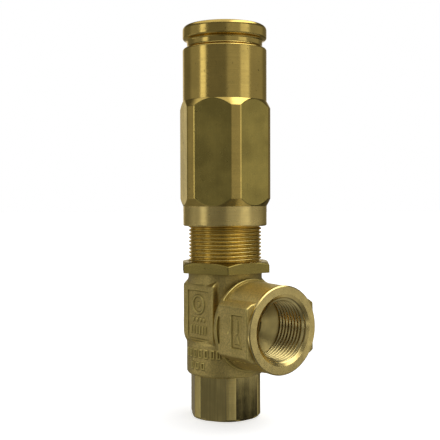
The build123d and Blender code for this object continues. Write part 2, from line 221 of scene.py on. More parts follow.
def cast_material(name, colour):
    """Pressed and blasted brass: fine grain, brighter worn edges, and painted shade darkening the hollows and corners.
    """
    material, nodes, shader = new_material(name)
    grain = nodes.noise(CAST_GRAIN_SCALE, 4.0, None, 0.66)
    pits = nodes.noise(CAST_PIT_SCALE, 3.0)
    cloud = nodes.noise(CAST_CLOUD_SCALE, 3.0)
    point = nodes.add("ShaderNodeNewGeometry").outputs["Pointiness"]
    edge = nodes.spread(point, 0.508, 0.56, 0.0, 1.0)
    # painted shade: concave hollows, found by pointiness, are darkened in the colour below
    hollow = nodes.spread(point, 0.492, 0.452, 0.0, 1.0)
    tone = nodes.mix(nodes.spread(cloud, 0.35, 0.68, 0.0, 1.0), colour, scaled(colour, 0.84, 0.99, 0.9))
    tone = nodes.mix(nodes.spread(grain, 0.38, 0.66, 0.0, 0.8), tone, scaled(colour, 0.56))
    tone = nodes.mix(edge, tone, scaled(colour, 1.28, 0.98, 0.9))
    # painted shade in the concave hollows
    tone = nodes.mix(hollow, tone, scaled(colour, 0.32, 0.96, 0.7))
    # painted shade: ambient occlusion darkens the colour where nearby surfaces close in
    shade = nodes.add("ShaderNodeAmbientOcclusion", samples=8)
    shade.inputs["Distance"].default_value = SHADE_REACH_MM * MM
    painted_shade = nodes.spread(shade.outputs["AO"], 0.40, 0.92, 0.88, 0.0)
    tone = nodes.mix(painted_shade, tone, scaled(colour, 0.42, 0.93, 0.65))
    nodes.link(tone, shader.inputs["Base Color"])
    grained = nodes.spread(grain, 0.3, 0.7, 0.40, 0.52)
    rough = nodes.math("SUBTRACT", grained, nodes.math("MULTIPLY", edge, 0.12))
    nodes.link(rough, shader.inputs["Roughness"])
    shader.inputs["Metallic"].default_value = 1.0
    broad = nodes.bump(pits, 0.5, 0.16)
    nodes.link(nodes.bump(grain, 0.75, 0.10, broad), shader.inputs["Normal"])
    return material


def steel_material(name, colour, rough, stretch=(1.0, 1.0, 12.0)):
    """Turned steel with faint lines."""
    material, nodes, shader = new_material(name)
    lines = nodes.noise(700.0, 2.0, stretch)
    cloud = nodes.noise(140.0, 3.0)
    tone = nodes.mix(nodes.spread(cloud, 0.35, 0.7, 0.0, 1.0), colour, scaled(colour, 0.8))
    nodes.link(tone, shader.inputs["Base Color"])
    nodes.link(nodes.spread(lines, 0.3, 0.7, rough * 0.8, rough * 1.25), shader.inputs["Roughness"])
    shader.inputs["Metallic"].default_value = 1.0
    nodes.link(nodes.bump(lines, 0.3, 0.01), shader.inputs["Normal"])
    return material


def dull_material(name, colour, rough):
    """Rubber or plastic with a fine grain."""
    material, nodes, shader = new_material(name)
    grain = nodes.noise(1800.0, 3.0)
    cloud = nodes.noise(160.0, 2.0)
    tone = nodes.mix(nodes.spread(cloud, 0.35, 0.7, 0.0, 1.0), colour, scaled(colour, 0.75))
    nodes.link(tone, shader.inputs["Base Color"])
    nodes.link(nodes.spread(grain, 0.3, 0.7, rough - 0.08, rough + 0.08), shader.inputs["Roughness"])
    nodes.link(nodes.bump(grain, 0.3, 0.02), shader.inputs["Normal"])
    return material


BRASS = (0.76, 0.545, 0.145)
# a lighter copy of the brass, a painted highlight on the inlet's turned lands
LIT_PALE_BRASS = (1.0, 0.79, 0.29)
PORT_BRASS = (0.76, 0.61, 0.25)

# Multipliers that draw the tool lines out in one direction.
AROUND_FINE = (0.012, 0.012, 1.0)
AROUND = (0.02, 0.02, 1.0)
UPRIGHT = (1.0, 1.0, 0.02)
AROUND_OUTLET = (1.0, 0.02, 0.02)
EVEN = (1.0, 1.0, 1.0)

TURNED = brass_material(
    "brass_turned", BRASS, 0.17, AROUND_FINE, line_scale=3800.0, line_depth=0.012, spots=1.0, anisotropic=0.35
)
# painted highlight: a lighter copy of the turned brass for the lower skirt, standing in for its broader highlight
SKIRT = brass_material(
    "brass_skirt_lit",
    (1.0, 0.76, 0.27),
    0.29,
    AROUND_FINE,
    line_scale=3800.0,
    line_depth=0.012,
    spots=1.0,
    anisotropic=0.5,
)
FLATS = brass_material(
    "brass_flats",
    (0.76, 0.585, 0.15),
    0.19,
    UPRIGHT,
    line_scale=1900.0,
    line_depth=0.010,
    spots=0.6,
    stain_tone=0.70,
    streaks=0.2,
)
# painted shade: a darker copy of the brass, standing in for the nut's dim flats
NUT = brass_material(
    "brass_nut_shaded",
    (0.41, 0.315, 0.083),
    0.26,
    AROUND,
    line_scale=2600.0,
    line_depth=0.012,
    spots=0.3,
    stain_tone=0.8,
)
STEM = brass_material("brass_stem", (0.87, 0.66, 0.215), 0.20, AROUND, line_scale=900.0, line_depth=0.003)
CONE = brass_material(
    "brass_port_cone", (0.84, 0.66, 0.24), 0.34, AROUND_OUTLET, line_scale=900.0, line_depth=0.002
)
PORT = brass_material(
    "brass_port_thread", PORT_BRASS, 0.21, AROUND_OUTLET, line_scale=900.0, line_depth=0.001
)
# painted highlight: a lighter copy of the brass for the outlet's faced ring
FACED = brass_material(
    "brass_faced_lit", (0.96, 0.74, 0.27), 0.22, EVEN, line_scale=1500.0, line_depth=0.002, streaks=0.08
)
# painted highlight: the inlet's turned lands get the lighter copy of the brass
LANDS = brass_material(
    "brass_lands_lit", LIT_PALE_BRASS, 0.42, AROUND, line_scale=2600.0, line_depth=0.010, anisotropic=0.85
)
INLET = brass_material(
    "brass_inlet",
    (0.76, 0.60, 0.22),
    0.11,
    UPRIGHT,
    line_scale=1300.0,
    line_depth=0.014,
    stain_tone=0.74,
    streaks=0.75,
)
CAST = cast_material("brass_cast", (0.86, 0.67, 0.235))
STEEL = steel_material("steel_turned", (0.60, 0.60, 0.59), 0.26)
POLISHED = steel_material("steel_polished", (0.75, 0.75, 0.75), 0.08, (1.0, 1.0, 1.0))
SPRING = steel_material("steel_spring", (0.22, 0.22, 0.23), 0.38)
RUBBER = dull_material("rubber_black", (0.022, 0.022, 0.022), 0.62)
PLASTIC = dull_material("plastic_white", (0.82, 0.82, 0.78), 0.45)


# ------------------------------------------------------------------ meshes
MERGE_MM = 0.002


def close_up(mesh):
    """Merge points that fall on one another, and turn every face round if the closed mesh is inside out."""
    worked = bmesh.new()
    worked.from_mesh(mesh)
    bmesh.ops.remove_doubles(worked, verts=worked.verts, dist=MERGE_MM * MM)
    if worked.calc_volume(signed=True) < 0:
        bmesh.ops.reverse_faces(worked, faces=worked.faces)
    worked.to_mesh(mesh)
    worked.free()


def make_object(name, points_mm, faces, materials, body, slot, replaced=(), face_material=None):
    """A smooth-shaded piece that rides on a body. With a body of None it is left unattached."""
    mesh = bpy.data.meshes.new(name)
    mesh.from_pydata((np.asarray(points_mm) * MM).tolist(), [], faces)
    for material in materials:
        mesh.materials.append(material)
    mesh.polygons.foreach_set("use_smooth", np.ones(len(mesh.polygons), bool))
    if face_material is not None:
        mesh.polygons.foreach_set("material_index", np.asarray(face_material, np.int32))
    close_up(mesh)
    mesh.update()
    piece = bpy.data.objects.new(name, mesh)
    bpy.context.scene.collection.objects.link(piece)
    if body:
        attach(piece, body)
    if replaced:
        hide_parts(*replaced)
    return piece


# A fillet's largest step in degrees, the most of a side that it may take, and the place of the extra rows.
ARC_STEP = 11
FILLET_REACH = 0.46
EDGE_MARGIN = 0.12


def rounded(corners):
    """An outline through (r, z, fillet) corners, with each fillet drawn as an arc. The ends stay sharp."""
    points = [np.array(corners[0][:2], float)]
    for before, corner, after in zip(corners, corners[1:], corners[2:]):
        here = np.array(corner[:2], float)
        radius = corner[2] if len(corner) > 2 else 0.0
        back = np.array(before[:2], float) - here
        ahead = np.array(after[:2], float) - here
        back_length, ahead_length = np.linalg.norm(back), np.linalg.norm(ahead)
        back, ahead = back / back_length, ahead / ahead_length
        angle = math.acos(max(-1.0, min(1.0, float(back @ ahead))))
        if radius < 1e-6 or angle > math.pi - 0.02:
            points.append(here)
            continue
        reach = min(radius / math.tan(angle / 2), FILLET_REACH * back_length, FILLET_REACH * ahead_length)
        radius = reach * math.tan(angle / 2)
        middle = here + (back + ahead) / np.linalg.norm(back + ahead) * radius / math.sin(angle / 2)
        first, last = here + back * reach, here + ahead * reach
        a, b = first - middle, last - middle
        sweep = math.acos(max(-1.0, min(1.0, float(a @ b) / radius**2)))
        steps = max(3, int(math.degrees(sweep) / ARC_STEP))
        for step in range(steps + 1):
            t = step / steps
            arc = (math.sin((1 - t) * sweep) * a + math.sin(t * sweep) * b) / math.sin(sweep)
            points.append(middle + arc)
    points.append(np.array(corners[-1][:2], float))
    return points


def supported(points, longest):
    """Extra points near the ends of each straight run, so that shading stays crisp, and none further apart."""
    out = [points[0]]
    for a, b in zip(points, points[1:]):
        length = np.linalg.norm(b - a)
        if length < 1e-6:
            continue
        marks = []
        if length > 6 * EDGE_MARGIN:
            marks += [EDGE_MARGIN / length, 1 - EDGE_MARGIN / length]
        count = int(length / longest)
        marks += [i / (count + 1) for i in range(1, count + 1)]
        for t in sorted(marks):
            out.append(a + (b - a) * t)
        out.append(b)
    return out


def soft_least(a, b, soft):
    """The smaller of a and b, with the change from one to the other rounded over soft."""
    mix = np.clip(0.5 + 0.5 * (b - a) / soft, 0, 1)
    return b * (1 - mix) + a * mix - soft * mix * (1 - mix)


def soft_most(a, b, soft):
    """The larger of a and b, rounded in the same way."""
    return -soft_least(-a, -b, soft)


def from_flat(theta, turn):
    """Angle from the middle of the nearest flat of a hexagon whose first flat faces turn degrees."""
    return (theta - math.radians(turn) + math.pi / 6) % (math.pi / 3) - math.pi / 6


def hexagon_radius(theta, across_flats, turn):
    """Distance from the axis to a hexagon's side, at each angle."""
    return across_flats / 2 / np.cos(from_flat(theta, turn))


def face_middles(verts, faces):
    """The mean of each face's corners."""
    return np.array([verts[list(f)].mean(0) for f in faces])


def ramp(value, start, length):
    """0 up to start, 1 after start plus length, and straight between. A negative length turns it round."""
    return np.clip((value - start) / length, 0, 1)


def upright(radius, theta, z):
    """Points round the valve's own axis."""
    return np.stack([radius * np.cos(theta), radius * np.sin(theta), np.broadcast_to(z, radius.shape)], -1)


def sideways(radius, theta, x):
    """Points round the outlet's axis."""
    return np.stack([np.broadcast_to(x, radius.shape), radius * np.cos(theta), OUTLET_Z + radius * np.sin(theta)], -1)


def lathe(points, count, shape, place=upright):
    """Turn an outline of (r, z) points. shape(r, z, theta) gives the final radius. A point on the axis is a pole."""
    outline = np.array([p[:2] for p in points], float)
    theta = np.linspace(0, 2 * math.pi, count, endpoint=False)[None, :]
    r, z = outline[:, :1], outline[:, 1:]
    radius = shape(np.broadcast_to(r, (len(outline), count)).copy(), z, theta)
    grid = place(radius, np.broadcast_to(theta, radius.shape), z)
    closed = np.linalg.norm(outline[0] - outline[-1]) < 1e-6
    rows = len(outline) - 1 if closed else len(outline)
    verts = grid[:rows].reshape(-1, 3)
    faces = []
    pole_low = not closed and outline[0, 0] < 1e-6
    pole_high = not closed and outline[-1, 0] < 1e-6
    for i in range(len(outline) - 1):
        a, b = i, (i + 1) % rows
        for j in range(count):
            k = (j + 1) % count
            if pole_low and i == 0:
                faces.append((0, b * count + k, b * count + j))
            elif pole_high and b == rows - 1:
                faces.append((a * count + j, a * count + k, b * count))
            else:
                faces.append((a * count + j, a * count + k, b * count + k, b * count + j))
    # a pole row keeps only its first point
    used = np.ones(len(verts), bool)
    if pole_low:
        used[1:count] = False
    if pole_high:
        used[(rows - 1) * count + 1 :] = False
    renumber = np.cumsum(used) - 1
    faces = [tuple(int(renumber[v]) for v in face) for face in faces]
    return verts[used], faces


def thread_wave(phase, flat_top, flat_low, soft):
    """Height of a thread at a phase from 0 to 1: 1 on the crest and 0 in the root.

    flat_top and flat_low are the flat parts of the half pitch at the crest and the root.
    """
    from_crest = np.abs((phase + 0.5) % 1.0 - 0.5) * 2
    flank = (1 - from_crest - flat_low) / (1 - flat_top - flat_low)
    return soft_most(soft_least(flank, np.ones_like(flank), soft), np.zeros_like(flank), soft)


# ------------------------------------------------------------------ adjusting sleeve
SLEEVE_LOW = 103.7
SLEEVE_HIGH = 212.0
SLEEVE_R = 22.85
SLEEVE_LAND_R = 25.1
SLEEVE_GROOVE_R = 20.5
SLEEVE_THREAD_R = 20.05
SLEEVE_BORE_R = 17.0
SLEEVE_SOFT = 0.28
LOOK_TURNED, LOOK_FLAT, LOOK_SKIRT = 0, 1, 2


def build_sleeve():
    """Long sleeve: round at both ends, a chamfered hexagon between, and a groove near the top."""
    corners = [
        (0.0, SLEEVE_HIGH),
        (SLEEVE_R, SLEEVE_HIGH, 2.5),
        (SLEEVE_R, 204.9, 1.1),
        (SLEEVE_GROOVE_R, 204.0, 1.5),
        (SLEEVE_GROOVE_R, 200.3, 1.5),
        (SLEEVE_R, 199.3, 1.1),
        (SLEEVE_R, 171.3, 0.5),
        (SLEEVE_LAND_R, 167.2, 0.5),
        (SLEEVE_LAND_R, 118.5, 0.5),
        (SLEEVE_R, 114.5, 0.5),
        (SLEEVE_R, SLEEVE_LOW, 0.9),
        (21.0, SLEEVE_LOW, 0.15),
        (SLEEVE_THREAD_R, 104.7, 0.2),
        (SLEEVE_THREAD_R, 145.0, 0.2),
        (SLEEVE_BORE_R, 148.0, 0.3),
        (SLEEVE_BORE_R, 200.0, 1.5),
        (8.03, 200.0, 0.1),
        (8.03, 202.5, 0.1),
        (0.0, 202.5),
    ]
    points = supported(rounded(corners), 12.0)
    # the hexagon's chamfers need close rows, because its corners are cut across them
    fine = []
    for a, b in zip(points, points[1:]):
        fine.append(a)
        in_cones = 112.0 < min(a[1], b[1]) and max(a[1], b[1]) < 175.0 and a[0] > 22.0 and b[0] > 22.0
        if in_cones and abs(a[0] - b[0]) > 0.2:
            steps = int(np.linalg.norm(b - a) / 0.16)
            fine += [a + (b - a) * (i / (steps + 1)) for i in range(1, steps + 1)]
    fine.append(points[-1])

    def shape(radius, z, theta):
        limit = hexagon_radius(theta, SLEEVE_ACROSS_FLATS, SLEEVE_TURN)
        return np.where(radius > 21.0, soft_least(radius, limit, SLEEVE_SOFT), radius)

    verts, faces = lathe(fine, 576, shape)
    x, y, z = face_middles(verts, faces).T
    angle = from_flat(np.arctan2(y, x), SLEEVE_TURN)
    radius = np.hypot(x, y)
    flat = np.abs(radius * np.cos(angle) - SLEEVE_ACROSS_FLATS / 2) < 0.12
    flat &= (z > 114.0) & (z < 172.0) & (np.abs(angle) < math.radians(23.7))
    look = np.where(flat, LOOK_FLAT, LOOK_TURNED)
    # the lower skirt takes the lighter copy, a painted highlight
    look[(z < 114.4) & (radius > 20.2)] = LOOK_SKIRT
    return make_object(
        "sleeve", verts, faces, [TURNED, FLATS, SKIRT], "sleeve", "turned_brass", ["adjusting_sleeve"], look
    )


# ------------------------------------------------------------------ lock nut
NUT_LOW = 78.8
NUT_HIGH = 84.4
NUT_THREAD_R = 20.05


def build_lock_nut():
    """Thin hexagon, chamfered on its upper side."""
    corners = [
        (NUT_THREAD_R, 81.6),
        (NUT_THREAD_R, 79.6, 0.1),
        (20.85, NUT_LOW, 0.15),
        (27.5, NUT_LOW, 0.3),
        (27.5, 82.35, 0.3),
        (23.3, NUT_HIGH, 0.3),
        (20.85, NUT_HIGH, 0.15),
        (NUT_THREAD_R, 83.6, 0.1),
        (NUT_THREAD_R, 81.6),
    ]
    points = supported(rounded(corners), 0.8)

    def shape(radius, z, theta):
        limit = np.broadcast_to(hexagon_radius(theta, NUT_ACROSS_FLATS, NUT_TURN), radius.shape)
        return soft_least(radius, limit, 0.3)

    verts, faces = lathe(points, 480, shape)
    return make_object("lock_nut_hex", verts, faces, [NUT], "nut", "nut_brass", ["lock_nut"])


# ------------------------------------------------------------------ inlet fitting
INLET_LAND_R = 19.7
INLET_HIGH = 25.0
INLET_THREAD_R = 13.22
INLET_THREAD_DEPTH = 1.16
INLET_BORE_R = 8.0
SPIGOT_R = 15.0
SPIGOT_HIGH = 38.0
SEAT_POCKET_R = 11.0
SEAT_POCKET_LOW = 33.0
ROWS_PER_TURN = 14


def build_inlet():
    """Hexagonal inlet fitting with a threaded socket below and a spigot above."""
    major = INLET_THREAD_R
    corners = [
        (13.7, 0.0),
        (18.4, 0.0, 0.3),
        (INLET_LAND_R, 1.5, 0.8),
        (INLET_LAND_R, INLET_HIGH, 0.2),
        (SPIGOT_R, INLET_HIGH, 0.1),
        (SPIGOT_R, 25.7, 0.1),
        (13.4, 25.7, 0.1),
        (13.4, 28.3, 0.1),
        (SPIGOT_R, 28.3, 0.1),
        (SPIGOT_R, SPIGOT_HIGH, 0.6),
        (SEAT_POCKET_R, SPIGOT_HIGH, 0.2),
        (SEAT_POCKET_R, SEAT_POCKET_LOW, 0.1),
        (INLET_BORE_R, SEAT_POCKET_LOW, 0.2),
        (INLET_BORE_R, 19.7, 0.3),
        (major, 16.5, 0.1),
    ]
    points = supported(rounded(corners), 3.0)
    bore = [np.array([major, z]) for z in np.arange(16.4, 1.2, -INLET_PITCH / ROWS_PER_TURN)]
    points += bore + [np.array([major, 1.0]), np.array([13.7, 0.0])]

    def shape(radius, z, theta):
        limit = np.broadcast_to(hexagon_radius(theta, INLET_ACROSS_FLATS, 0.0), radius.shape)
        outer = np.where((radius > 17.5) & (z < INLET_HIGH + 0.01), soft_least(radius, limit, 0.25), radius)
        ridge = thread_wave(z / INLET_PITCH - theta / (2 * math.pi), 0.12, 0.12, 0.3)
        ends = ramp(z, 0.6, 1.6) * ramp(z, 16.4, -1.2)
        inside = (np.abs(radius - major) < 0.01) & (z < 16.5)
        return np.where(inside, radius - INLET_THREAD_DEPTH * ridge * ends, outer)

    verts, faces = lathe(points, 432, shape)
    x, y, z = face_middles(verts, faces).T
    # the turned lands take the lighter copy, a painted highlight
    turned = (np.hypot(x, y) > INLET_LAND_R - 0.25) & (z < INLET_HIGH - 0.05)
    return make_object(
        "inlet_hex", verts, faces, [INLET, LANDS], "housing", "turned_brass", ["inlet_fitting"], turned.astype(int)
    )


# ------------------------------------------------------------------ threaded stem
STEM_R = 19.95
STEM_THREAD_DEPTH = 1.2
STEM_LOW = 78.5
STEM_THREAD_HIGH = 127.8
STEM_HIGH = 129.0
SPRING_BORE_R = 16.0


def build_stem():
    """Threaded stem with the spring's bore in it."""
    crest, bore = STEM_R, SPRING_BORE_R
    rows = np.arange(STEM_LOW, STEM_THREAD_HIGH, STEM_PITCH / ROWS_PER_TURN)
    points = [np.array([bore, STEM_LOW])]
    points += [np.array([crest, z]) for z in rows]
    points += [np.array([crest, STEM_THREAD_HIGH]), np.array([18.7, STEM_HIGH]), np.array([17.0, STEM_HIGH])]
    points += [np.array([bore, 128.0]), np.array([bore, 100.0]), np.array([bore, STEM_LOW])]

    def shape(radius, z, theta):
        ridge = thread_wave(z / STEM_PITCH - theta / (2 * math.pi), 0.16, 0.10, 0.22)
        cut = STEM_THREAD_DEPTH * (1 - ridge) * ramp(z, 79.2, 1.2)
        return np.where(np.abs(radius - crest) < 0.01, radius - cut, radius)

    verts, faces = lathe(points, 384, shape)
    return make_object("stem_thread", verts, faces, [STEM], "housing", "turned_brass", ["valve_body"])


# ------------------------------------------------------------------ outlet socket
OUTLET_FACE_X = 46.8
OUTLET_RING_R = 22.9
OUTLET_THREAD_R = 16.62
OUTLET_THREAD_DEPTH = 1.42
OUTLET_ROWS_PER_TURN = 18
SOCKET_WALL_R = 18.6
CROSS_HOLE_R = 8.6
CROSS_WALL_R = 9.9
LOOK_FACED, LOOK_PORT, LOOK_CONE = 0, 1, 2


def build_socket():
    """Faced ring, thread and cone of the outlet, as the skin of the body's boss."""
    major = OUTLET_THREAD_R
    corners = [
        (SOCKET_WALL_R, 44.4),
        (SOCKET_WALL_R, 45.15, 0.1),
        (OUTLET_RING_R, 45.15, 0.1),
        (OUTLET_RING_R, 46.25, 0.25),
        (22.35, OUTLET_FACE_X, 0.25),
        (18.4, OUTLET_FACE_X, 0.25),
        (16.9, 45.7, 0.15),
    ]
    points = supported(rounded(corners), 1.2)
    points += [np.array([major, x]) for x in np.arange(45.2, 25.6, -OUTLET_PITCH / OUTLET_ROWS_PER_TURN)]
    back = [
        (major, 25.4),
        (16.3, 25.2, 0.1),
        (CROSS_HOLE_R, 20.0, 0.4),
        (CROSS_HOLE_R, 15.3, 0.1),
        (CROSS_WALL_R, 15.3, 0.1),
        (CROSS_WALL_R, 19.2, 0.1),
        (SOCKET_WALL_R, 25.0, 0.3),
        (SOCKET_WALL_R, 44.4),
    ]
    points += supported(rounded(back), 1.0)

    def shape(radius, x, theta):
        ridge = thread_wave(x / OUTLET_PITCH - theta / (2 * math.pi), 0.10, 0.10, 0.16)
        ends = ramp(x, 45.5, -0.7) * ramp(x, 26.2, 1.4)
        return np.where(np.abs(radius - major) < 0.01, radius - OUTLET_THREAD_DEPTH * ridge * ends, radius)

    verts, faces = lathe(points, 384, shape, sideways)
    x, y, z = face_middles(verts, faces).T
    inside = (np.hypot(y, z - OUTLET_Z) < 16.95) & (x < 45.75)
    # the faced ring takes the lighter copy, a painted highlight
    look = np.where(inside, LOOK_PORT, LOOK_FACED)
    look[inside & (x < 25.35)] = LOOK_CONE
    return make_object(
        "outlet_socket", verts, faces, [FACED, PORT, CONE], "housing", "turned_brass", ["valve_body"], look
    )


# ------------------------------------------------------------------ pressed body
VOXEL = 0.3
LOW = (-24.0, -28.5, 21.6)
HIGH = (47.4, 28.5, 80.4)
BAND = 3.0

# A core is a shape less the rounding of its edges.
SKIRT_CORE_R = 19.1
SKIRT_CORE_LOW = 25.1
SKIRT_ROUND = 1.9
SKIRT_HIGH = 41.0
NECK_R = 20.15
NECK_HIGH = 78.78
FLAT_SIDE = 19.1
FLAT_LOW = 42.6
FLAT_HIGH = 72.2
FLAT_CORE_HALF = 12.3
FLAT_CORE_SIDE = 18.5
FLAT_ROUND = 0.6
COLLAR_R = 24.55
COLLAR_X = 22.7
COLLAR_GROOVE_R = 23.6
COLLAR_GROOVE_X = 23.15
BOSS_R = 22.65
BOSS_TAPER = 0.036
BOSS_BACK_X = 19.0
BOSS_FACE_X = 45.3
WRENCH_SIDE = 23.25
PANEL_Z = 56.2
PANEL_RING_Z = 61.8
PANEL_RING_R = 4.7
PANEL_DOTS_Z = 53.6
PANEL_BARS_Z = 48.3
PANEL_DOTS_X = (-4.5, -1.5, 1.5, 4.5)
PANEL_BARS_X = (-6.0, -3.6, -1.2, 1.2, 3.6, 6.0)
ARROW_X = 37.1
MARK_SOFT = 0.3
MARK_HALF_WIDTH = 1.15
# Rows of raised frames on the skirt: angles in degrees, height, half height.
SKIRT_MARKS = (
    ((-108.0, -98.0, -88.0, -78.0, -68.0, -58.0, -49.0), 36.1, 2.4),
    ((-95.0, -84.0, -74.0), 29.6, 2.0),
)
# Slow waves over the pressing: rates along x, y and z, and a shift.
WAVES = ((0.55, 0.32, 0.21, 0.3), (-0.28, 0.61, 0.35, 1.9), (0.19, -0.37, 0.66, 4.1), (0.71, 0.52, -0.44, 2.6))
WAVE_HEIGHT = 0.022
# Radius of the bore behind the socket's wall, at places along x.
WALL_X = (5.0, 15.0, 15.1, 19.5, 24.9, 25.0, 60.0)
WALL_R = (8.65, 8.65, 9.4, 9.4, 17.4, 17.6, 17.6)


def length2(a, b):
    return np.sqrt(a * a + b * b)


def rounded_corner(a, b, radius):
    """Distance to a rounded edge, from how far outside each of its core's two sides a point is."""
    return length2(np.maximum(a, 0), np.maximum(b, 0)) + np.minimum(np.maximum(a, b), 0) - radius


def rounded_box(dx, dy, dz, radius):
    """Distance to a box, from how far outside each pair of its faces a point is."""
    x, y, z = dx + radius, dy + radius, dz + radius
    outside = np.sqrt(np.maximum(x, 0) ** 2 + np.maximum(y, 0) ** 2 + np.maximum(z, 0) ** 2)
    return outside + np.minimum(np.maximum(np.maximum(x, y), z), 0) - radius


def skirt_neck_and_flats(x, side, z, r):
    skirt = rounded_corner(r - SKIRT_CORE_R, SKIRT_CORE_LOW - z, SKIRT_ROUND)
    skirt = soft_most(skirt, z - SKIRT_HIGH, 0.8)
    neck = soft_most(r - NECK_R, z - NECK_HIGH, 0.35)
    neck = np.maximum(neck, 28.0 - z)
    trim = np.maximum(np.maximum(FLAT_SIDE - side, np.abs(x) - 11.5), np.abs(z - 57.4) - 15.2)
    neck = soft_most(neck, -trim, 0.5)
    solid = soft_least(skirt, neck, 1.6)

    # the flats slope away at their upper and lower ends
    pads = rounded_corner(np.abs(x) - FLAT_CORE_HALF, side - FLAT_CORE_SIDE, FLAT_ROUND)
    upper = ((side - FLAT_SIDE) * 2.2 + (z - FLAT_HIGH) * 2.6) / 3.406
    lower = ((side - FLAT_SIDE) * 3.4 - (z - FLAT_LOW) * 2.6) / 4.28
    pads = soft_most(soft_most(pads, upper, 0.7), lower, 2.6)
    pads = soft_most(pads, (r - 23.0), 0.3)
    return soft_least(solid, pads, 0.5)


def with_boss(solid, x, side, z, rx):
    """Add the outlet's collar, the boss and its wrench flats, and cut the small groove between them."""
    cone = ((rx - 16.0) * 3.2 - (x - 17.6) * 8.2) / 8.8
    collar = soft_most(soft_most(rx - COLLAR_R, x - COLLAR_X, 0.3), cone, 0.4)
    solid = soft_least(solid, collar, 0.8)
    boss = soft_most(rx - (BOSS_R + (45.1 - x) * BOSS_TAPER), x - BOSS_FACE_X, 0.2)
    boss = np.maximum(boss, BOSS_BACK_X - x)
    slope = ((side - 23.1) * 2.0 + (np.abs(z - OUTLET_Z) - 12.6) * 3.4) / 3.94
    wrench = soft_most(soft_most(side - WRENCH_SIDE, slope, 0.8), np.abs(x - 33.4) - 11.4, 0.9)
    wrench = soft_most(wrench, np.abs(z - OUTLET_Z) - 14.9, 0.7)
    boss = soft_least(boss, wrench, 1.0)
    solid = soft_least(solid, boss, 0.35)
    return soft_most(solid, 0.5 - length2(rx - COLLAR_GROOVE_R, x - COLLAR_GROOVE_X), 0.3)


def with_front_panel(solid, x, y, z):
    """Cut the front panel's shallow recess, and raise a ring with a dot, a row of dots and a row of bars in it."""
    panel = rounded_box(np.abs(x) - 9.0, np.abs(y + 19.4) - 1.05, np.abs(z - PANEL_Z) - 13.0, 0.35)
    solid = soft_most(solid, -panel, MARK_SOFT)
    sheet = np.abs(y + 18.25) - 0.72
    ring = np.abs(length2(x, z - PANEL_RING_Z) - PANEL_RING_R) - 0.55
    marks = soft_most(ring, sheet, MARK_SOFT)
    dot = length2(x, z - PANEL_RING_Z) - 1.5
    marks = np.minimum(marks, soft_most(dot, sheet, MARK_SOFT))
    for place_x in PANEL_DOTS_X:
        dot = length2(x - place_x, z - PANEL_DOTS_Z) - 1.1
        marks = np.minimum(marks, soft_most(dot, sheet, MARK_SOFT))
    for place_x in PANEL_BARS_X:
        bar = rounded_box(np.abs(x - place_x) - 0.6, sheet, np.abs(z - PANEL_BARS_Z) - 2.3, 0.35)
        marks = np.minimum(marks, bar)
    return soft_least(solid, marks, MARK_SOFT)


def with_arrow_panel(solid, x, y, z):
    """Cut the shallow panel in the boss's front flat, and raise a flow arrow in it."""
    panel = rounded_box(np.abs(x - ARROW_X) - 4.1, np.abs(y + 23.5) - 0.95, np.abs(z - 51.8) - 8.3, 0.3)
    solid = soft_most(solid, -panel, MARK_SOFT)
    sheet = np.abs(y + 22.5) - 0.6
    head = np.maximum(np.abs(x - ARROW_X) * 0.9 + (z - 50.4) * 0.45, 45.8 - z)
    tail = np.maximum(np.abs(x - ARROW_X) - 0.7, np.abs(z - 54.4) - 3.6)
    return soft_least(solid, soft_most(np.minimum(head, tail), sheet, MARK_SOFT), MARK_SOFT)


def with_skirt_marks(solid, x, y, z):
    """Raise small frames round the front of the skirt."""
    for angles, height, half_height in SKIRT_MARKS:
        for degrees in angles:
            c, s = math.cos(math.radians(degrees)), math.sin(math.radians(degrees))
            across = np.abs(-x * s + y * c) - MARK_HALF_WIDTH
            out = np.abs(x * c + y * s - 20.7) - 1.0
            upward = np.abs(z - height) - half_height
            mark = rounded_box(across, out, upward, 0.35)
            hollow = rounded_box(across + 0.72, np.abs(x * c + y * s - 22.0) - 1.0, upward + 0.75, 0.2)
            solid = soft_least(solid, soft_most(mark, -hollow, 0.2), MARK_SOFT)
    return solid


def with_bores(solid, x_axis, x, z, r, rx):
    """Cut the pocket and bore for the inlet fitting, the chamber, the spring bore and the way to the outlet."""
    solid = np.maximum(solid, -np.maximum(r - 15.05, z - 38.2))
    solid = np.maximum(solid, -np.maximum(r - 19.85, z - 25.05))
    solid = np.maximum(solid, -np.maximum(r - 14.0, z - 68.0))
    solid = np.maximum(solid, -np.maximum(r - SPRING_BORE_R, 68.0 - z))
    wall = np.interp(x_axis, WALL_X, WALL_R).astype(np.float32)[:, None, None]
    return np.maximum(solid, -np.maximum(rx - wall, 5.0 - x))


def body_field():
    """Distance to the body's surface at each point of the grid, less than 0 inside."""
    axes = [np.arange(a, b, VOXEL, dtype=np.float32) for a, b in zip(LOW, HIGH)]
    x, y, z = axes[0][:, None, None], axes[1][None, :, None], axes[2][None, None, :]
    r = length2(x, y)
    side = np.abs(y)
    rx = length2(y, z - OUTLET_Z)
    solid = skirt_neck_and_flats(x, side, z, r)
    solid = with_boss(solid, x, side, z, rx)
    solid = with_front_panel(solid, x, y, z)
    solid = with_arrow_panel(solid, x, y, z)
    solid = with_skirt_marks(solid, x, y, z)
    wave = np.zeros((1, 1, 1), np.float32)
    for wx, wy, wz, shift in WAVES:
        wave = wave + np.sin(wx * x + wy * y + wz * z + shift)
    solid = solid + WAVE_HEIGHT * wave
    solid = with_bores(solid, axes[0], x, z, r, rx)
    return solid.astype(np.float32)


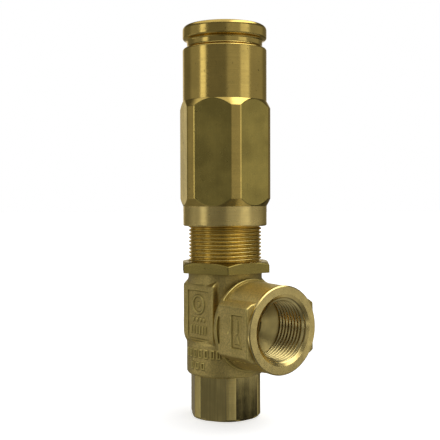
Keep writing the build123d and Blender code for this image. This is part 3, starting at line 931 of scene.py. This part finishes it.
def build_body():
    """Pressed body, meshed from its distance field."""
    grid = vdb.FloatGrid(BAND)
    grid.copyFromArray(np.ascontiguousarray(np.clip(body_field(), -BAND, BAND)))
    points, quads = grid.convertToQuads(0.0)
    points = np.asarray(points) * VOXEL + np.array(LOW)
    faces = np.asarray(quads)[:, ::-1].tolist()
    return make_object("pressed_body", points, faces, [CAST], "housing", "cast_brass", ["valve_body"])


# ------------------------------------------------------------------ spring
SPRING_WIRE_R = 2.25
SPRING_MEAN_R = 12.5
SPRING_TURNS = 14
SPRING_SPLIT = 115.0
STEPS_PER_TURN = 56
WIRE_SIDES = 20
# In wire radii: the end coils' pitch, and how far the wire's middle starts above the ground face.
CLOSED_PITCH = 1.9
GROUND_START = 0.2


def coils(turns, heights, low, high):
    """One closed length of round wire wound round the axis, ground flat at the spring's two ends."""
    section = np.linspace(0, 2 * math.pi, WIRE_SIDES, endpoint=False)[None, :]
    angle = 2 * math.pi * turns[:, None]
    radius = SPRING_MEAN_R + SPRING_WIRE_R * np.cos(section)
    z = np.clip(heights[:, None] + SPRING_WIRE_R * np.sin(section), low, high)
    verts = np.stack([radius * np.cos(angle), radius * np.sin(angle), z], -1).reshape(-1, 3)
    rings = len(turns)
    faces = [tuple(range(WIRE_SIDES))]
    for i in range(rings - 1):
        a, b = i * WIRE_SIDES, (i + 1) * WIRE_SIDES
        for j in range(WIRE_SIDES):
            k = (j + 1) % WIRE_SIDES
            faces.append((a + j, b + j, b + k, a + k))
    faces.append(tuple(reversed(range((rings - 1) * WIRE_SIDES, rings * WIRE_SIDES))))
    return verts, faces


def build_spring():
    """The spring in two lengths, cut apart at a height: a lower one and an upper one, each left where it is built."""
    low, high = (corner[2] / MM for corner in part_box("spring"))
    wire = SPRING_WIRE_R
    turns = np.linspace(0, SPRING_TURNS, SPRING_TURNS * STEPS_PER_TURN + 1)
    opened = ramp(turns, 0.9, 0.5) * ramp(turns, SPRING_TURNS - 0.9, -0.5)
    gained = np.concatenate([[0.0], np.cumsum((opened[1:] + opened[:-1]) / 2 * np.diff(turns))])
    start = low + GROUND_START * wire
    closed = CLOSED_PITCH * wire
    extra = (high - GROUND_START * wire - start - closed * SPRING_TURNS) / gained[-1]
    heights = start + closed * turns + extra * gained
    cut = int(np.searchsorted(heights, SPRING_SPLIT))
    lower_mesh = coils(turns[: cut + 1], heights[: cut + 1], low, high)
    upper_mesh = coils(turns[cut:], heights[cut:], low, high)
    lower = make_object("spring_lower", *lower_mesh, [SPRING], None, "spring_steel", ["spring"])
    upper = make_object("spring_upper", *upper_mesh, [SPRING], None, "spring_steel", ["spring"])
    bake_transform(lower)
    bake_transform(upper)


build_sleeve()
build_lock_nut()
build_inlet()
build_stem()
build_socket()
build_body()
build_spring()

NODE_LOOKS = {
    "inlet_o_ring": RUBBER,
    "valve_seat": STEEL,
    "seat_o_ring": RUBBER,
    "valve_ball": POLISHED,
    "ball_carrier": STEEL,
    "push_rod": STEEL,
    "guide_bush": TURNED,
    "bush_o_ring": RUBBER,
    "rod_o_ring": RUBBER,
    "backup_ring": PLASTIC,
    "bush_circlip": SPRING,
    "lower_spring_plate": STEEL,
    "upper_spring_plate": STEEL,
    "thrust_ball": POLISHED,
    "thrust_pad": STEEL,
}
for node, material in NODE_LOOKS.items():
    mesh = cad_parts[node].data
    mesh.materials.clear()
    mesh.materials.append(material)


# ------------------------------------------------------------------ camera
AZIMUTH = math.radians(51.0)
DISTANCE = 461.0
CAMERA_Z = 119.3
SIDE_STEP = -2.74
LENS_MM = 68.8
SENSOR_MM = 36.0
PITCH = math.radians(1.56)
ROLL = math.radians(-0.15)

forward = Vector((-math.sin(AZIMUTH), math.cos(AZIMUTH), 0.0))
right = Vector((math.cos(AZIMUTH), math.sin(AZIMUTH), 0.0))
place = (right * SIDE_STEP - forward * DISTANCE + Vector((0, 0, CAMERA_Z))) * MM
look = forward * math.cos(PITCH) + Vector((0, 0, -math.sin(PITCH)))
camera_data = bpy.data.cameras.new("camera")
camera_data.lens = LENS_MM
camera_data.sensor_width = SENSOR_MM
camera = bpy.data.objects.new("camera", camera_data)
bpy.context.scene.collection.objects.link(camera)
camera.rotation_mode = "QUATERNION"
camera.location = place
turn = look.to_track_quat("-Z", "Y").to_matrix() @ Matrix.Rotation(ROLL, 3, "Z")
camera.rotation_quaternion = turn.to_quaternion()
camera_data.clip_start = 0.01
camera_data.clip_end = 50.0
bpy.context.scene.camera = camera


# ------------------------------------------------------------------ floor and studio light
FLOOR_RADIUS = 6
FLOOR_SIDES = 96
FLOOR_GLOW = 0.55


def build_floor():
    """A wide disc of pale paper, which isn't seen in reflections."""
    material, nodes, shader = new_material("floor_paper")
    grain = nodes.noise(30.0, 2.0)
    nodes.link(nodes.mix(grain, (0.86, 0.86, 0.86), (0.88, 0.88, 0.88)), shader.inputs["Base Color"])
    shader.inputs["Roughness"].default_value = 0.9
    shader.inputs["Specular IOR Level"].default_value = 0.1
    shader.inputs["Emission Color"].default_value = (1.0, 1.0, 1.0, 1.0)
    shader.inputs["Emission Strength"].default_value = FLOOR_GLOW
    mesh = bpy.data.meshes.new("floor")
    angles = [2 * math.pi * i / FLOOR_SIDES for i in range(FLOOR_SIDES)]
    ring = [(FLOOR_RADIUS * math.cos(a), FLOOR_RADIUS * math.sin(a), 0.0) for a in angles]
    mesh.from_pydata(ring, [], [tuple(range(FLOOR_SIDES))])
    mesh.materials.append(material)
    floor = bpy.data.objects.new("floor", mesh)
    bpy.context.scene.collection.objects.link(floor)
    floor.visible_glossy = False


# Upright soft boxes round the valve: bearing from the camera's direction, half width and soft edge in degrees, and
# brightness.
BOXES = [
    (-61.0, 8.5, 3.5, 0.96),
    (57.0, 13.0, 6.0, 0.62),
    (26.0, 20.0, 8.0, 0.20),
    (-84.0, 22.0, 14.0, 0.14),
    (92.0, 34.0, 16.0, 0.16),
    (186.0, 22.0, 20.0, 0.62),
]
# Low cards, in the same terms.
LOW_CARDS = [
    (18.0, 16.0, 6.0, 0.82),
    (-102.0, 18.0, 6.0, 0.75),
]
FRONT_LIGHT = 0.085
FRONT_LOW_LIGHT = 0.08
LEFT_LOW_LIGHT = 0.10
TOP_LIGHT = 0.7
HIGH_RIGHT_LIGHT = 1.8
TABLE_LIGHT = 0.30
CARD_LIGHT = 0.50
LOW_RIGHT_CUT = 0.75
BOX_FOOT_PART = 0.15
BOX_HEAD_PART = 0.08
CARD_FOOT_PART = 1.4

# Where each light starts or ends. Heights are the sine of the elevation, sides the part of the way to the right.
BOX_FOOT = (-0.07, -0.03)
BOX_HEAD = (0.28, 0.40)
FRONT_FOOT = (-0.14, -0.03)
LOW_RIGHT_HEIGHT = (-0.25, -0.20)
LOW_RIGHT_SIDE = (0.55, 0.75)
LOW_CARD_FOOT = (-0.36, -0.30)
LOW_CARD_HEAD = (-0.235, -0.20)
LEFT_LOW_HEIGHT = (-0.15, -0.09)
LEFT_LOW_SIDE = (-0.5, -0.1)
TABLE_HEIGHT = (-0.6, -0.4)
TABLE_SIDE = (0.30, 0.65)
CARD_FOOT = (-0.208, -0.194)
CARD_HEAD = (-0.12, -0.09)
CARD_BRIGHT_FOOT = (-0.19, -0.15)
CARD_SIDE = (0.50, 0.60)
CARD_BACK = (math.radians(95.0), math.radians(115.0))
TOP_HEIGHT = (0.60, 0.74)
HIGH_RIGHT_HEIGHT = (0.64, 0.72)
HIGH_RIGHT_SIDE = (0.12, 0.32)


def build_world():
    """The camera sees white, and everything else the studio: what each light is for is said beside it."""
    world = bpy.data.worlds.new("studio")
    bpy.context.scene.world = world
    world.use_nodes = True
    nodes = Nodes(world.node_tree)
    direction = nodes.add("ShaderNodeTexCoord").outputs["Generated"]
    parts = nodes.add("ShaderNodeSeparateXYZ")
    nodes.link(direction, parts.inputs[0])
    x, y, z = parts.outputs

    def along(vector):
        return nodes.math("ADD", nodes.math("MULTIPLY", x, vector[0]), nodes.math("MULTIPLY", y, vector[1]))

    bearing = nodes.math("ARCTAN2", along(right), along(-forward))

    def step(value, span, to_low, to_high):
        change = nodes.add("ShaderNodeMapRange", interpolation_type="SMOOTHSTEP")
        change.inputs["From Min"].default_value = span[0]
        change.inputs["From Max"].default_value = span[1]
        change.inputs["To Min"].default_value = to_low
        change.inputs["To Max"].default_value = to_high
        nodes.link(value, change.inputs["Value"])
        return change.outputs[0]

    def boxes(table):
        total = None
        for centre, half, soft, strength in table:
            off = nodes.math("SUBTRACT", bearing, math.radians(centre))
            wrapped = nodes.math("WRAP", off, math.pi)
            wrapped.node.inputs[2].default_value = -math.pi
            gap = nodes.math("ABSOLUTE", wrapped)
            edge = (math.radians(half - soft / 2), math.radians(half + soft / 2))
            box = step(gap, edge, strength, 0.0)
            total = box if total is None else nodes.math("ADD", total, box)
        return total

    def add_light(amount):
        return nodes.math("ADD", light, amount)

    def both(a, b):
        return nodes.math("MULTIPLY", a, b)

    rightward = along(right)
    light = both(boxes(BOXES), step(z, BOX_FOOT, BOX_FOOT_PART, 1.0))
    light = add_light(step(z, FRONT_FOOT, 0.0, FRONT_LIGHT))
    light = both(light, step(z, BOX_HEAD, 1.0, BOX_HEAD_PART))
    light = add_light(FRONT_LOW_LIGHT)
    # darker low on the right, seen in the inlet's right flat
    low_right = both(step(z, LOW_RIGHT_HEIGHT, 1.0, 0.0), step(rightward, LOW_RIGHT_SIDE, 0.0, 1.0))
    light = both(light, nodes.math("SUBTRACT", 1.0, both(low_right, LOW_RIGHT_CUT)))
    # cards below the boxes, seen in the inlet's turned lands
    cards = both(step(z, LOW_CARD_FOOT, 0.0, 1.0), step(z, LOW_CARD_HEAD, 1.0, 0.0))
    light = add_light(both(boxes(LOW_CARDS), cards))
    # a dim light low on the left, seen in the inlet's front flat
    left_low = both(step(z, LEFT_LOW_HEIGHT, LEFT_LOW_LIGHT, 0.0), step(rightward, LEFT_LOW_SIDE, 1.0, 0.0))
    light = add_light(left_low)
    # the table on the right, seen in undersides
    light = add_light(both(step(z, TABLE_HEIGHT, TABLE_LIGHT, 0.0), step(rightward, TABLE_SIDE, 0.0, 1.0)))
    # a low card on the right, seen in the outlet's face
    card = both(step(z, CARD_FOOT, 0.0, CARD_LIGHT), step(z, CARD_HEAD, 1.0, 0.0))
    card = both(card, step(z, CARD_BRIGHT_FOOT, CARD_FOOT_PART, 1.0))
    card = both(card, step(bearing, CARD_BACK, 1.0, 0.0))
    light = add_light(both(card, step(rightward, CARD_SIDE, 0.0, 1.0)))
    # the ceiling, and its brighter part on the right, seen in the outlet's thread and in chamfers
    light = add_light(step(z, TOP_HEIGHT, 0.0, TOP_LIGHT))
    high_right = both(step(z, HIGH_RIGHT_HEIGHT, 0.0, HIGH_RIGHT_LIGHT), step(rightward, HIGH_RIGHT_SIDE, 0.0, 1.0))
    light = add_light(high_right)
    studio = nodes.add("ShaderNodeBackground")
    studio.inputs["Color"].default_value = (1.0, 1.0, 1.0, 1.0)
    nodes.link(light, studio.inputs["Strength"])
    paper = nodes.add("ShaderNodeBackground")
    paper.inputs["Color"].default_value = (1.0, 1.0, 1.0, 1.0)
    paper.inputs["Strength"].default_value = 1.0
    path = nodes.add("ShaderNodeLightPath")
    mixed = nodes.add("ShaderNodeMixShader")
    nodes.link(path.outputs["Is Camera Ray"], mixed.inputs[0])
    nodes.link(studio.outputs[0], mixed.inputs[1])
    nodes.link(paper.outputs[0], mixed.inputs[2])
    output = nodes.add("ShaderNodeOutputWorld")
    nodes.link(mixed.outputs[0], output.inputs[0])


build_floor()
build_world()
bpy.context.scene.view_settings.view_transform = "Standard"
